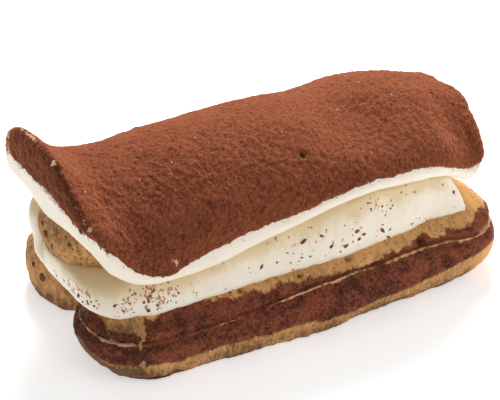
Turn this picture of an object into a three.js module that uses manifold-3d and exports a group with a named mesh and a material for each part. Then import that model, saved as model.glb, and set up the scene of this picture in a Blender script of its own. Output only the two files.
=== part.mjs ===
// A portion of tiramisu, in millimetres, +Z up, standing on its two lower ladyfingers.
// The long sides run along X, the open front faces -Y, and the origin is on the ground under the middle.
// Two ladyfingers lie side by side under a first layer of mascarpone cream. A third ladyfinger lies on that
// cream, and a thick blanket of cream is draped over it, dusted with cocoa on its top and upper edges.
import * as THREE from "three";
import { mergeVertices } from "three/addons/utils/BufferGeometryUtils.js";
import Module from "manifold-3d";

const wasm = await Module();
wasm.setup();

// ---------------------------------------------------------------- driving sizes

const GAP = 0.3; // clear space between touching pieces

// The sizes below count from the seam between the two lower ladyfingers. The finished portion is moved by
// this much, so that the origin stands under the middle of its outline.
const SHIFT = { x: -0.4, y: 1.2 };

const FINGER_WIDTH = 30.6;
const FINGER_HEIGHT = 17.4;
const BASE_SHARE = 0.86; // half-width of the flat base, as a share of the full half-width
const WIDEST_SHARE = 0.36; // height of the widest place, as a share of the finger's height
const CREASE_SHARE = 0.75; // height of the crease where the crust has burst, as a share of the height
const CREASE_DEPTH = 0.9;
const END_FULLNESS = 0.025; // how much squarer than a half circle most ends are

// Each finger: its length, where its middle stands and its base's height. Where it says so, its base is drawn
// in at the ends (tuck) or along the right half of its front (undercut), its dome rises at the right end
// (endRise), its crease falls to the left (creaseFall), or its ends are squarer (fullness).
const FINGERS = {
  ladyfinger_front: {
    length: 110.8,
    x: 0,
    y: -15.4,
    z: 0,
    tuck: 0.19,
    undercut: 0.17,
    endRise: 0.12,
    creaseFall: 0.17,
  },
  ladyfinger_back: { length: 110.8, x: 2, y: 15.6, z: 0 },
  ladyfinger_upper: { length: 104, x: -4, y: 0.5, z: 19.4, tuck: 0.1, fullness: 0.05 },
};

// Lower cream
const BED_BOTTOM = 14.2; // the cream's underside, before the fingers are taken out of it
const BED_FRONT = -26;
const BED_BACK = 26.5;
const BED_LEFT = -55.2;
const BED_RIGHT = 44;
const BED_LEAN = 1.6; // how far the front leans back from the bottom to the top
const BED_CORNER_LEFT = 0.11; // rounding of the corners in plan, as a share of the half sizes
const BED_CORNER_RIGHT = 0.03;

// Blanket of cream on top
const BLANKET_LEFT = -55.6;
const BLANKET_RIGHT = 51.4;
const BLANKET_FRONT = -26.4;
const BLANKET_BACK = 26;
const BLANKET_CREST = 43.2; // height of its ridge line
const BLANKET_CURL = 7.3; // rise of the ridge line at the lifted left end
const BLANKET_DIP = 3.5; // fall of the ridge line at its lowest place
const BLANKET_SINK = 5; // fall of the ridge line at the right end
const BLANKET_HEM = 21.9; // lowest place of its front lower edge
const BLANKET_LIP = 6.4; // height of its front edge there

// Cocoa
const COCOA_GAP = 0.4;
const COCOA_THICK = 0.8;

// ---------------------------------------------------------------- small functions of one number

const { PI, abs, cos, exp, max, min, sign, sin, sqrt } = Math;

/** Rises smoothly from 0 at a to 1 at b. */
const ramp = (x, a, b) => THREE.MathUtils.smoothstep(x, a, b);

/** A bump of height 1 at centre that has mostly faded out at reach from it. */
const bump = (x, centre, reach) => exp(-(((x - centre) / reach) ** 2));

const mix = THREE.MathUtils.lerp;

// ---------------------------------------------------------------- meshes and solids

/**
 * A closed geometry from rows of points. Each row is a closed loop, and the first and last shrink to a line
 * or a point.
 */
function closedSurface(rows) {
  const columns = rows[0].length;
  const positions = rows.flat().flatMap((p) => [p.x, p.y, p.z]);
  const index = [];
  for (let r = 0; r + 1 < rows.length; r++) {
    for (let c = 0; c < columns; c++) {
      const low = r * columns + c;
      const lowNext = r * columns + ((c + 1) % columns);
      const high = low + columns;
      const highNext = lowNext + columns;
      index.push(low, lowNext, high, lowNext, highNext, high);
    }
  }
  const loose = new THREE.BufferGeometry();
  loose.setAttribute("position", new THREE.Float32BufferAttribute(positions, 3));
  loose.setIndex(index);
  return withoutSlivers(mergeVertices(loose, 1e-3));
}

/** The geometry without the triangles that lost a corner when its points were merged. */
function withoutSlivers(geometry) {
  const corners = [...geometry.index.array];
  const kept = [];
  for (let i = 0; i < corners.length; i += 3) {
    const [a, b, c] = corners.slice(i, i + 3);
    if (a !== b && b !== c && a !== c) kept.push(a, b, c);
  }
  geometry.setIndex(kept);
  return geometry;
}

/** A geometry as a manifold-3d solid. */
function solidOf(geometry) {
  return new wasm.Manifold(
    new wasm.Mesh({
      numProp: 3,
      vertProperties: new Float32Array(geometry.getAttribute("position").array),
      triVerts: new Uint32Array(geometry.index.array),
    }),
  );
}

/** The largest body of a manifold-3d solid as a geometry, without the scraps that cutting leaves. */
function geometryOf(solid) {
  const largest = solid.decompose().reduce((a, b) => (b.volume() > a.volume() ? b : a));
  const mesh = largest.getMesh();
  const geometry = new THREE.BufferGeometry();
  geometry.setAttribute("position", new THREE.BufferAttribute(mesh.vertProperties, mesh.numProp));
  geometry.setIndex(new THREE.BufferAttribute(mesh.triVerts, 1));
  geometry.computeVertexNormals();
  return geometry;
}

// ---------------------------------------------------------------- ladyfingers

const FINGER_SIDE_STEPS = 14;
const FINGER_END_STEPS = 9;
const FINGER_DOME_STEPS = 7;
const FINGER_BELLY_STEPS = 3;

/** Half-width and height shares of the side profile: the flat base, out over the belly and up to the top. */
function fingerProfile() {
  const profile = [
    [0, 0],
    [BASE_SHARE, 0],
  ];
  for (let i = 1; i <= FINGER_BELLY_STEPS; i++) {
    const turn = (PI / 2) * (i / FINGER_BELLY_STEPS);
    profile.push([BASE_SHARE + (1 - BASE_SHARE) * sin(turn), WIDEST_SHARE * (1 - cos(turn))]);
  }
  for (let i = 1; i < FINGER_DOME_STEPS; i++) {
    const turn = (PI / 2) * (i / FINGER_DOME_STEPS);
    profile.push([cos(turn) ** 0.7, WIDEST_SHARE + (1 - WIDEST_SHARE) * sin(turn)]);
  }
  profile.push([0, 1]);
  return profile;
}

/** The rays of a stadium's outline: where each starts on the middle line, and its direction. */
function stadiumRays(halfLine) {
  const rays = [];
  for (const side of [1, -1]) {
    for (let i = 0; i < FINGER_SIDE_STEPS; i++) {
      rays.push({ start: side * mix(halfLine, -halfLine, i / FINGER_SIDE_STEPS), turn: (side * PI) / 2 });
    }
    for (let i = 0; i < FINGER_END_STEPS; i++) {
      rays.push({ start: -side * halfLine, turn: (side * PI) / 2 + PI * (i / FINGER_END_STEPS) });
    }
  }
  return rays;
}

/** How far the fingers' middle line sways to the side at a place along it. */
const sway = (x) => -2.6 * bump(x, 12, 28);

/** A ladyfinger: a flat base, a full belly, a crease round the side and a low dome, grown by a clearance. */
function ladyfinger(finger, clearance = 0) {
  const { length, x, y, z, tuck = 0, undercut = 0 } = finger;
  const { endRise = 0, creaseFall = 0, fullness = END_FULLNESS } = finger;
  const halfWidth = FINGER_WIDTH / 2;
  const rays = stadiumRays(length / 2 - halfWidth);
  const rows = fingerProfile().map(([wide, high]) =>
    rays.map(({ start, turn }) => {
      const away = x + start + halfWidth * cos(turn);
      const fallen = 1.2 * endRise * ramp(away, 30, 50) + creaseFall * ramp(-away, -8, 32);
      const crease = CREASE_DEPTH * bump(high, CREASE_SHARE - fallen, 0.06);
      const eaten = undercut * ramp(start, 0, 12) * (1 - ramp(sin(turn), 0, 1));
      const drawn = 1 - (tuck * cos(turn) ** 2 + eaten) * max(0, 1 - high / WIDEST_SHARE) ** 2;
      const full = halfWidth * (1 + fullness * sin(2 * turn) ** 2) * drawn;
      const reach = wide > 0 ? full * wide - crease + clearance : 0;
      const px = x + start + reach * cos(turn);
      const py = y + reach * sin(turn) + sway(px);
      const crown = FINGER_HEIGHT * (1 + 0.02 * sin(0.09 * px - 1) + endRise * ramp(px, 34, 50));
      const rise = high > 0 ? high * crown + clearance * (high > WIDEST_SHARE ? 1 : 0) : -clearance;
      return new THREE.Vector3(px, py, z + rise);
    }),
  );
  return closedSurface(rows);
}

// ---------------------------------------------------------------- slabs of cream

const SLAB_END_SHARES = [0, 0.45, 0.78, 0.94]; // how wide the loops are that close a slab's end

/**
 * A bent slab. place(s, v, w) gives the point at s along it (0 to 1), v across it (-1 to 1) and w through it
 * (-1 to 1). Its loops are rounded off at the long edges, and shrink to a point at each end.
 */
function slab({ stations, loop, edgePower, endInset, place }) {
  const around = Array.from({ length: loop }, (_, i) => {
    const turn = 2 * PI * (i / loop);
    // A superellipse whose points are spread evenly along its long sides.
    const v = Math.cbrt(cos(turn)) * abs(cos(turn)) ** 0.25;
    const w = sign(sin(turn)) * sqrt(max(0, 1 - abs(v) ** edgePower));
    return [v, w];
  });
  const startLevels = SLAB_END_SHARES.map((share) => {
    return { s: endInset * 0.5 * (1 - sqrt(1 - share ** 2)), share };
  });
  const levels = [...startLevels];
  for (let i = 0; i <= stations; i++) {
    levels.push({ s: mix(endInset, 1 - endInset, i / stations), share: 1 });
  }
  for (const { s, share } of startLevels.reverse()) {
    levels.push({ s: 1 - s, share });
  }
  const rows = levels.map(({ s, share }) => around.map(([v, w]) => place(s, v * share, w * share)));
  return closedSurface(rows);
}

// ---- the blanket

/** Height of the blanket's top along its ridge line. */
function crestHeight(x) {
  const curl = BLANKET_CURL * bump(x, -58.5, 7) - 1.3 * bump(x, -36, 9);
  const sunk = BLANKET_SINK * max(0, (x - 30) / 22) ** 1.35;
  return BLANKET_CREST + curl - BLANKET_DIP * bump(x, 21.5, 13) - sunk;
}

/** How much thinner the blanket's front edge is along its middle. */
const thinner = (x) => 1.3 * (ramp(x, -26, -12) - ramp(x, 14, 30));

/** Height of the blanket's lower front edge: lifted at the left corner, low beside it, then rising. */
function hemHeight(x) {
  const rise = 12 * bump(x, -60, 10) + 7 * ramp(x, -32, 22) + thinner(x);
  return BLANKET_HEM + rise - 2 * ramp(x, 26, 42) - 3.6 * bump(x, 46, 5.2);
}

/** Height of the blanket's upper front edge. */
function lipHeight(x) {
  const thick = BLANKET_LIP + 1.5 * bump(x, -17, 11) + 2 * bump(x, -51, 5) - 0.8 * ramp(x, 10, 30);
  return hemHeight(x) + thick - thinner(x) - 2.2 * bump(x, -58, 4);
}

/** Height of the blanket's upper back edge. */
const backHeight = (x) => 28.5 + 14.5 * bump(x, -60, 10) + 1.2 * sin(0.07 * x);

/** Height of the blanket's underside at v across it, from -1 at the front to 1 at the back. */
function underHeight(x, v) {
  const wave = 1 + 1.8 * bump(v, -0.7, 0.35) - 2.8 * bump(v, 0.15, 0.3) - 1.5 * (1 - v * v);
  const level = mix(hemHeight(x), 24 + 11.4 * bump(x, -60, 9), (v + 1) / 2);
  return level + wave * bump(x, -58, 5);
}

/** Height of the blanket's top at a place across it. */
function blanketTop(x, y, front, back) {
  const curled = bump(x, -59, 8);
  const ridge = -1 - 1.5 * ramp(x, 20, 52);
  const ahead = y < ridge;
  const t = min(1, abs(y - ridge) / abs((ahead ? front : back) - ridge));
  const edge = ahead ? lipHeight(x) : backHeight(x);
  const left = mix(t ** (ahead ? 2 : 2.3), ahead ? ramp(t, 0, 0.95) : t ** 5, curled);
  const arch = mix(left, ramp(t, 0.1, 0.98), ramp(x, 32, 56));
  return mix(crestHeight(x), edge, arch);
}

/** A point of the blanket, grown by a clearance all over. */
function blanketPoint(s, v, w, clearance) {
  const high = (w + 1) / 2;
  const corner = mix(3.8, 1.5, high) * ramp(-v, 0.3, 1) - mix(0.9, 0.3, high) * ramp(v, 0.4, 1);
  const nose = 5 * (v + 0.8) * ramp(-v, 0, 0.4) - 2.3 * max(v, 0) ** 3;
  const slant = 5.6 * ramp(-v, 0.2, 1) * (1 - high) ** 1.3;
  const left = BLANKET_LEFT + corner - clearance;
  const right = BLANKET_RIGHT + nose - slant + clearance;
  const x = mix(left, right, s);
  const front = BLANKET_FRONT + 2.6 * ramp(x, 20, 54) + 1.6 * ramp(-x, 40, 56);
  const back = BLANKET_BACK - 2.8 * ramp(-x, 44, 56);
  const y = mix(front, back, (v + 1) / 2);
  const top = blanketTop(x, y, front, back);
  const under = underHeight(x, v) + 1.5 * (1 - v * v);
  const z = mix(under, top, high);
  return new THREE.Vector3(x, y + clearance * v, z + clearance * w);
}

const blanket = (clearance = 0) =>
  slab({
    stations: 26,
    loop: 34,
    edgePower: 14,
    endInset: 0.02,
    place: (s, v, w) => blanketPoint(s, v, w, clearance),
  });

// ---- the lower cream

const BED_STEPS = { front: 28, end: 10, back: 14 };
const BED_LEVELS = [
  [0, 0],
  [0.7, 0],
  [0.98, 0],
  [1, 0.15],
  [1, 0.4],
  [1, 0.65],
  [0.985, 0.86],
  [0.95, 0.97],
  [0.8, 1],
  [0, 1],
];

/** Points in order round a square that reaches from -1 to 1: along the front, up the right, back and down. */
function squareOutline({ front, end, back }) {
  const steps = (count) => Array.from({ length: count }, (_, i) => -1 + 2 * (i / count));
  return [
    ...steps(front).map((a) => [a, -1]),
    ...steps(end).map((b) => [1, b]),
    ...steps(back).map((a) => [-a, 1]),
    ...steps(end).map((b) => [-1, -b]),
  ];
}

/** How far the lower cream's front edge swells forwards at a place along it. */
const bedWave = (x) => 1.1 * bump(x, 7, 12) - 1.3 * bump(x, 35, 6) + 0.7 * bump(x, -42, 6);

/** Height of the lower cream's top, which the blanket covers everywhere but at the left end. */
const bedTop = (x, v) => min(underHeight(x, v) + 1.5, 23.8 + 8 * ramp(x, -48, -40));

/** The lower cream before the pieces round it are taken out: a cushion with rounded corners. */
function bed() {
  const middle = (BED_LEFT + BED_RIGHT) / 2;
  const rows = BED_LEVELS.map(([share, high]) =>
    squareOutline(BED_STEPS).map(([a, b]) => {
      const corner = mix(BED_CORNER_LEFT, BED_CORNER_RIGHT, ramp(a, -0.5, 0.5));
      const u = a * (1 - corner * b ** 6) * share;
      const v = b * (1 - corner * a ** 6) * share;
      const bulge = a > 0 ? 1.2 * bump(high, 0.35, 0.3) - 1.2 * ramp(high, 0.4, 1) : 0;
      const notch = 9 * ramp(v, 0.25, 0.6) * ramp(-u, 0.5, 1);
      const x = middle + ((BED_RIGHT - BED_LEFT) / 2) * u + bulge * abs(u) + notch;
      const lean = BED_LEAN * ramp(high, 0.2, 1) * v + ramp(-v, 0.6, 1) * bedWave(x);
      const y = (BED_FRONT + BED_BACK) / 2 + ((BED_BACK - BED_FRONT) / 2) * v - lean;
      return new THREE.Vector3(x, y, mix(BED_BOTTOM, bedTop(x, v), high));
    }),
  );
  return closedSurface(rows);
}

/** A ribbon of cream that runs up from the lower cream in front of the upper finger's left end. */
function ribbonPoint(s, v, w) {
  const y = mix(4, 11.5, sqrt(s)) - 0.7 * s + (1.7 + 0.9 * s) * v;
  const x = -53.6 - 1.6 * w - 1.2 * sin(PI * s) + 0.06 * max(0, y - 4) ** 1.5;
  return new THREE.Vector3(x, y, mix(17, 34, s));
}

const ribbon = () => slab({ stations: 8, loop: 12, edgePower: 2, endInset: 0.02, place: ribbonPoint });

// ---------------------------------------------------------------- cocoa

/** Height of the ragged line under which there is no cocoa, at a place in plan. */
function cocoaLine(x, y) {
  const front = lipHeight(x) - 0.9 - 2 * bump(x, -38, 5) - 0.8 * bump(x, -46, 5);
  const back = backHeight(x) - 1.8;
  const long = mix(front, back, ramp(y, -12, 12)) + 6 * max(0, 1 - (y / 20) ** 2);
  const level = long - 0.6 * bump(x, 39, 5) - 2 * ramp(x, 48, 50.5);
  const side = 38.9 - 2.6 * ramp(-y, 9, 16);
  const ragged = 0.3 * sin(1.3 * x + 0.5 * y) + 0.2 * sin(2.9 * x - y);
  return mix(level, side, ramp(-x, 51, 54.5)) + ragged;
}

/** Everything under the cocoa line, as a block that the cocoa is cut by. */
function underCocoa() {
  const block = new THREE.BoxGeometry(124, 68, 10, 62, 17, 1);
  block.deleteAttribute("normal");
  block.deleteAttribute("uv");
  const place = block.getAttribute("position");
  for (let i = 0; i < place.count; i++) {
    if (place.getZ(i) > 0) place.setZ(i, cocoaLine(place.getX(i), place.getY(i)));
  }
  return mergeVertices(block, 1e-3);
}

// ---------------------------------------------------------------- the portion

const portion = new THREE.Group();

function addPiece(name, geometry, color, roughness) {
  geometry.translate(SHIFT.x, SHIFT.y, 0);
  const mesh = new THREE.Mesh(geometry, new THREE.MeshStandardMaterial({ color, roughness, metalness: 0 }));
  mesh.name = name;
  portion.add(mesh);
}

const SPONGE = "#c08a52";
const CREAM = "#f3e8d6";
const COCOA = "#7c422b";

const grownFingers = Object.values(FINGERS).map((finger) => solidOf(ladyfinger(finger, GAP)));
const upperFinger = grownFingers[2];

for (const [name, finger] of Object.entries(FINGERS)) addPiece(name, ladyfinger(finger), SPONGE, 0.95);

const uncutCream = solidOf(bed()).add(solidOf(ribbon()));
const roundCream = [...grownFingers, solidOf(blanket(GAP))];
const lowerCream = roundCream.reduce((cut, piece) => cut.subtract(piece), uncutCream);
addPiece("cream_lower", geometryOf(lowerCream), CREAM, 0.5);

addPiece("cream_top", geometryOf(solidOf(blanket()).subtract(upperFinger)), CREAM, 0.5);

const cocoaShell = solidOf(blanket(COCOA_GAP + COCOA_THICK)).subtract(solidOf(blanket(COCOA_GAP)));
addPiece("cocoa_dusting", geometryOf(cocoaShell.subtract(solidOf(underCocoa()))), COCOA, 1);

export default portion;
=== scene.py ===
"""A portion of tiramisu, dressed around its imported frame.

Two ladyfingers lie side by side under a first layer of mascarpone cream. A third lies on that cream, and a
thick blanket of cream is draped over it, dusted with cocoa on its top and upper edges.

Sizes are in millimetres and count from the seam between the two lower ladyfingers: +X runs along the
portion, +Y to its back and +Z up. ORIGIN carries them to the frame, whose origin is on the ground under the
middle.
"""

from __future__ import annotations

import logging
from dataclasses import dataclass, field
from enum import Enum
from itertools import combinations
from typing import Any

import bmesh
import bpy
import numpy as np
from mathutils import Matrix, Vector
from numpy.typing import NDArray

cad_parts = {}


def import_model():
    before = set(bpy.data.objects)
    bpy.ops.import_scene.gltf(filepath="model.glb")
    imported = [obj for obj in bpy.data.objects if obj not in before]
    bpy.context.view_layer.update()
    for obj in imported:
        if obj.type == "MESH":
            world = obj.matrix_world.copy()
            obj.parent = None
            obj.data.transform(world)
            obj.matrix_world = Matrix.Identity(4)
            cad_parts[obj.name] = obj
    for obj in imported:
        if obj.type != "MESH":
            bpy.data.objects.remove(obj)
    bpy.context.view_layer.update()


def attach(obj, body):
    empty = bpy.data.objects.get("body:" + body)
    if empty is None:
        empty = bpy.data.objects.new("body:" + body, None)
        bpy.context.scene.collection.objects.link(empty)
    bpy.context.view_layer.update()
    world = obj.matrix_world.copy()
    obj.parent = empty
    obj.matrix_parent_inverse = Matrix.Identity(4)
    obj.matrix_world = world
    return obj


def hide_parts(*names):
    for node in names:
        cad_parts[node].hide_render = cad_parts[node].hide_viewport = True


log = logging.getLogger("tiramisu")

Field = NDArray[np.float64]  # one number for each point
Points = NDArray[np.float64]  # x, y and z of each point, along the last axis
Marks = dict[str, Field]  # numbers for each point, which the materials read by name
Colour = tuple[float, float, float, float]
Triple = tuple[float, float, float]
Faces = NDArray[np.int64]  # the corners of each face, one row a face
Piece = bpy.types.Object
Material = bpy.types.Material
Socket = bpy.types.NodeSocket

MM = 0.001
ORIGIN = np.array([-0.4, 1.2, 0.0])
TINY = 1e-9
UPWARDS = ((0, 0, -1), (0, 0, 1))  # outward directions at the poles of a surface whose rows climb
RIGHTWARDS = ((-1, 0, 0), (1, 0, 0))  # the same where the rows run along the portion
MIX_A, MIX_B, MIX_RESULT = 6, 7, 2  # a Mix node's sockets for colours
PRIMES = np.array([374761393, 668265263, 1274126177])  # stir the x, y and z of a corner of the noise


class Slot(Enum):
    """The record's material slots."""

    SPONGE = "sponge"
    CREAM = "cream"
    COCOA = "cocoa"


# ---------------------------------------------------------------- numbers


def ramp(value: Any, start: float, end: float) -> Any:
    """Rises from 0 at start to 1 at end along 3t² − 2t³, where t is the share of the way."""
    t = np.clip((value - start) / (end - start), 0.0, 1.0)
    return t * t * (3.0 - 2.0 * t)


def bump(value: Any, centre: float, reach: float) -> Any:
    """A bell of height 1: e to the power of minus the square of the distance from centre over reach."""
    return np.exp(-(((value - centre) / reach) ** 2))


def mix(low: Any, high: Any, share: Any) -> Any:
    """Goes straight from low at share 0 to high at share 1."""
    return low + (high - low) * share


def turned(place: Points, turn: float) -> Points:
    """Coordinates of the points on axes that are turned about +Z by an angle."""
    x, y, z = np.moveaxis(place, -1, 0)
    return np.stack([np.cos(turn) * x + np.sin(turn) * y, np.cos(turn) * y - np.sin(turn) * x, z], axis=-1)


def unit(vectors: Points) -> Points:
    """The vectors, each made 1 long."""
    return vectors / np.maximum(np.linalg.norm(vectors, axis=-1, keepdims=True), TINY)


def rgb(code: str) -> Colour:
    """Turns a hex colour of the screen into the linear colour that a shader takes, by the sRGB curve.

    Args:
        code: Six hex digits, two each for red, green and blue.

    Returns:
        Linear red, green and blue, and an alpha of 1.
    """
    screen = np.array([int(code[i : i + 2], 16) for i in (0, 2, 4)]) / 255.0
    linear = np.where(screen <= 0.04045, screen / 12.92, ((screen + 0.055) / 1.055) ** 2.4)
    return (float(linear[0]), float(linear[1]), float(linear[2]), 1.0)


@dataclass(frozen=True)
class Noise:
    """Smooth random relief: each corner of a cubic lattice holds a random value, blended in between."""

    seed: int

    def corner(self, cell: NDArray[np.int64]) -> Field:
        """The value at lattice corners: their coordinates, multiplied by primes and stirred by shifts.

        Args:
            cell: Whole x, y and z of each corner, along the last axis.

        Returns:
            A value from -1 to 1 for each corner.
        """
        low_bits, half_range = 0xFFFFFFFF, 8388607.5
        seed_prime, factor, offset = 974634777, 1103515245, 12345
        stirred = cell @ PRIMES + self.seed * seed_prime
        for shift in (15, 13, 16):
            stirred &= low_bits
            stirred = (stirred ^ (stirred >> shift)) * factor + offset
        return ((stirred & low_bits) >> 8) / half_range - 1.0

    def at(self, place: Points, size: Any) -> Field:
        """Noise whose lumps are about size wide: the eight corners round a place, weighted by smooth steps.

        Args:
            place: Points, in millimetres.
            size: Width of the lumps, as one number or one for each axis.

        Returns:
            A value from -1 to 1 for each point.
        """
        scaled = place / np.asarray(size, float)
        cell = np.floor(scaled).astype(np.int64)
        t = scaled - cell
        t = t * t * (3.0 - 2.0 * t)
        total = np.zeros(place.shape[:-1])
        for step in np.ndindex(2, 2, 2):
            weight = np.prod(np.where(step, t, 1.0 - t), axis=-1)
            total += weight * self.corner(cell + np.array(step))
        return total

    def layered(self, place: Points, size: Any, layers: int = 3) -> Field:
        """Sum of noises, each with lumps half as wide and half as high as the one before.

        Args:
            place: Points, in millimetres.
            size: Width of the largest lumps.
            layers: How many noises are summed.

        Returns:
            A value of about -1 to 1 for each point.
        """
        total = np.zeros(place.shape[:-1])
        for layer in range(layers):
            total += Noise(self.seed + layer).at(place, np.asarray(size, float) / 2**layer) / 2**layer
        return total


# ---------------------------------------------------------------- meshes


@dataclass(frozen=True)
class Line:
    """A level that changes along the portion, by bells and by smooth steps.

    A bell is its height, its place and its reach. A step is its rise and the places it starts and ends at.
    """

    level: float
    bells: tuple[Triple, ...] = ()
    steps: tuple[Triple, ...] = ()

    def at(self, x: Field) -> Field:
        """The level, plus every bell and every step."""
        bells = sum(height * bump(x, place, reach) for height, place, reach in self.bells)
        return self.level + bells + sum(rise * ramp(x, start, end) for rise, start, end in self.steps)


class Seeded:
    """A piece with random relief of its own."""

    seed: int

    def noise(self, number: int, place: Points, size: Any, layers: int = 2) -> Field:
        """Layered noise from the piece's own seed, which the number moves on."""
        return Noise(self.seed + number).layered(place, size, layers)


@dataclass
class Surface:
    """A closed surface on a grid: each row is a loop of columns, and the end rows shrink to a pole.

    Along a row and then up the rows, the cross product of the two steps points outwards.
    """

    place: Points
    poles: tuple[Triple, Triple]

    def normals(self) -> Points:
        """Works out the cross product of the steps along and across the rows.

        Returns:
            The outward direction at each point.
        """
        along = np.roll(self.place, -1, axis=1) - np.roll(self.place, 1, axis=1)
        normal = unit(np.cross(along, np.gradient(self.place, axis=0)))
        normal[0], normal[-1] = self.poles
        return normal

    def raised(self, height: Field) -> Surface:
        """The surface with each point moved outwards by its height."""
        return Surface(self.place + self.normals() * height[..., None], self.poles)

    def faces(self) -> Faces:
        """Joins each point to its neighbours along and across the rows.

        Returns:
            The four corners of each face.
        """
        rows, columns = self.place.shape[:2]
        index = np.arange(rows * columns).reshape(rows, columns)
        following = np.roll(index, -1, axis=1)
        corners = [index[:-1], following[:-1], following[1:], index[1:]]
        return np.stack(corners, axis=-1).reshape(-1, 4)


def new_mesh(name: str, place: Points, faces: Faces, marks: Marks) -> Piece:
    """Makes an object at the origin from points in millimetres and faces that all have as many corners.

    Args:
        name: The object's name.
        place: Points, counted from the seam between the lower ladyfingers.
        faces: Corners of each face, one row a face.
        marks: Numbers for each point, which the materials read by name.

    Returns:
        The object, smooth and linked to the scene.
    """
    mesh = bpy.data.meshes.new(name)
    metres = (place.reshape(-1, 3) + ORIGIN) * MM
    mesh.vertices.add(len(metres))
    mesh.vertices.foreach_set("co", metres.ravel())
    mesh.loops.add(faces.size)
    mesh.loops.foreach_set("vertex_index", faces.ravel().astype(np.int32))
    mesh.polygons.add(len(faces))
    starts = np.arange(0, faces.size, faces.shape[1], dtype=np.int32)
    mesh.polygons.foreach_set("loop_start", starts)
    mesh.polygons.foreach_set("use_smooth", np.ones(len(faces), dtype=bool))
    for mark, values in marks.items():
        layer = mesh.attributes.new(mark, "FLOAT", "POINT")
        layer.data.foreach_set("value", values.ravel().astype(np.float32))
    mesh.update(calc_edges=True)
    piece = bpy.data.objects.new(name, mesh)
    bpy.context.scene.collection.objects.link(piece)
    return piece


def settle(piece: Piece, material: Material, slot: Slot, *nodes: str) -> None:
    """Gives a piece its material and body, and hides the CAD nodes that it stands for.

    Args:
        piece: The finished object.
        material: Its only material.
        slot: Not used.
        *nodes: The CAD nodes that it replaces.
    """
    piece.data.materials.append(material)
    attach(piece, "root")
    if nodes:
        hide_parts(*nodes)
    log.info("%s: %d faces", piece.name, len(piece.data.polygons))


def new_piece(
    name: str, surface: Surface, marks: Marks, material: Material, slot: Slot, node: str
) -> None:
    """Makes a piece from a closed surface, joins the points that meet at its poles and settles it.

    Args:
        name: The object's name.
        surface: The surface, in millimetres.
        marks: Numbers for each point, which the material reads by name.
        material: Its only material.
        slot: The record's slot, handed on to settle.
        node: The CAD node that it replaces.
    """
    piece = new_mesh(name, surface.place, surface.faces(), marks)
    rows, columns = surface.place.shape[:2]
    body = bmesh.new()
    body.from_mesh(piece.data)
    body.verts.ensure_lookup_table()
    ends = [*range(columns), *range((rows - 1) * columns, rows * columns)]
    bmesh.ops.remove_doubles(body, verts=[body.verts[i] for i in ends], dist=0.002 * MM)
    body.to_mesh(piece.data)
    body.free()
    settle(piece, material, slot, node)


# ---------------------------------------------------------------- finishes


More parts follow.
